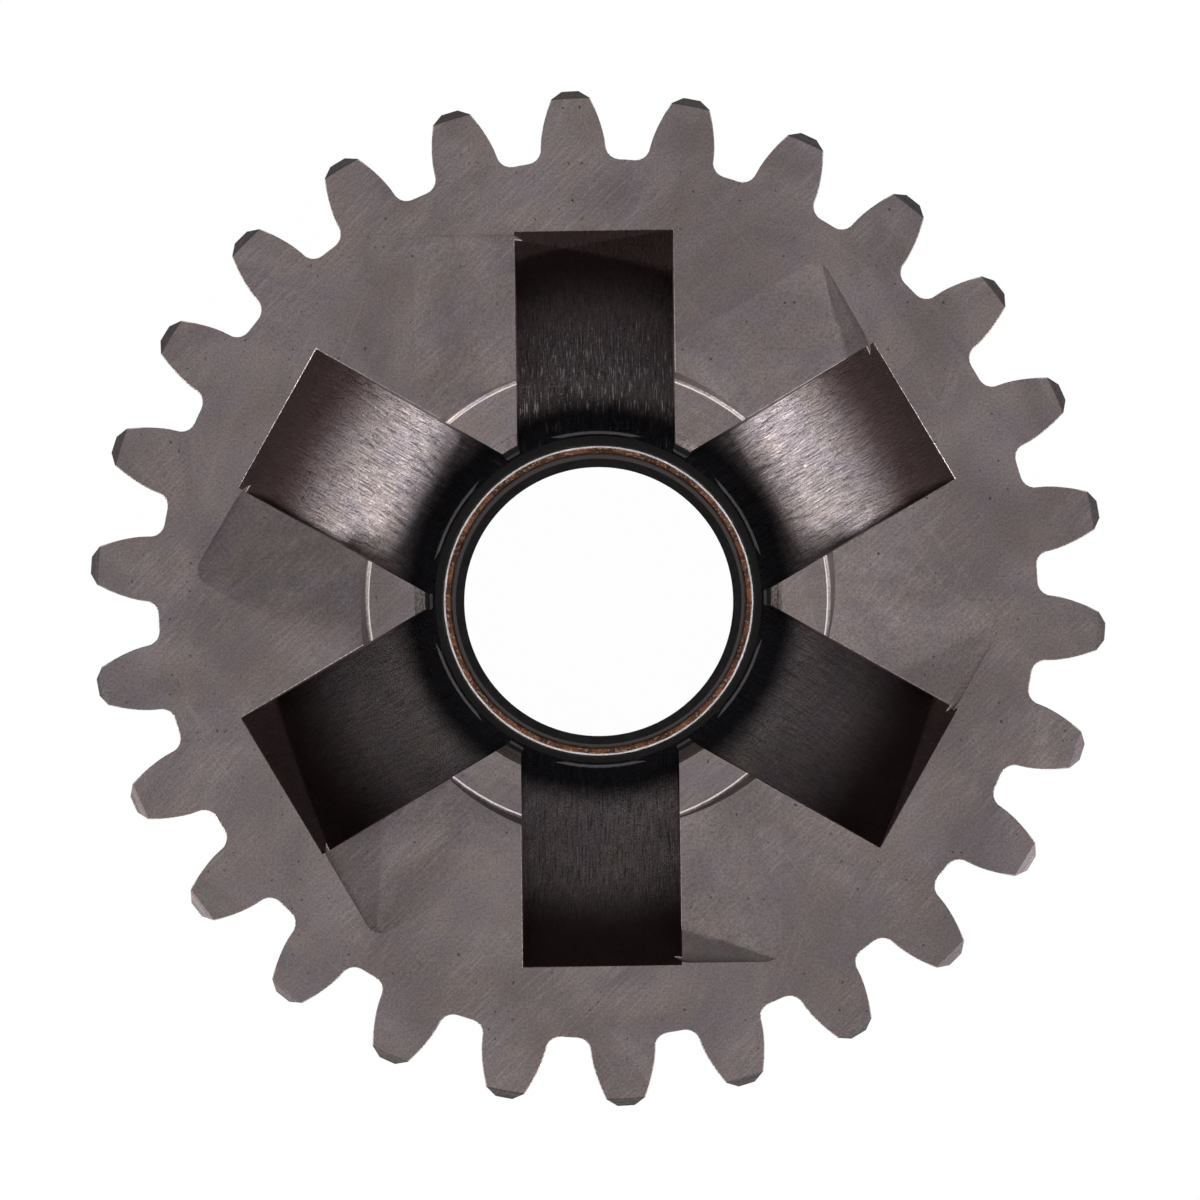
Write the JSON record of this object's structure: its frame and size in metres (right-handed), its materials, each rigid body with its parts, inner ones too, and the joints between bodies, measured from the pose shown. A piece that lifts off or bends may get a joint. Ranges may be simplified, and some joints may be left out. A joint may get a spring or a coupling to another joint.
{
  "type": "transmission gear",
  "caption": "Main drive gear of a motor vehicle gearbox: spur teeth, milled dog slots with lead-in ramps, and a long splined sleeve with a bronze bush.",
  "frame": {"origin": "centre of the sleeve's free end, where the gear stands", "axes": "+Z along the bore axis, from the sleeve end towards the slotted face; the first slot lies 30.7 degrees from +X towards +Y"},
  "size_m": [0.0872, 0.0874, 0.076],
  "materials": {
    "gear_steel": "hardened steel, matt ground faces and bright milled slots",
    "bush_bronze": "machined bronze, dulled",
    "seal_rubber": "matt black moulded rubber"
  },
  "bodies": {
    "root": {"main_drive_gear": "gear_steel", "sleeve_bush": "bush_bronze", "oil_seal": "seal_rubber"}
  },
  "joints": []
}
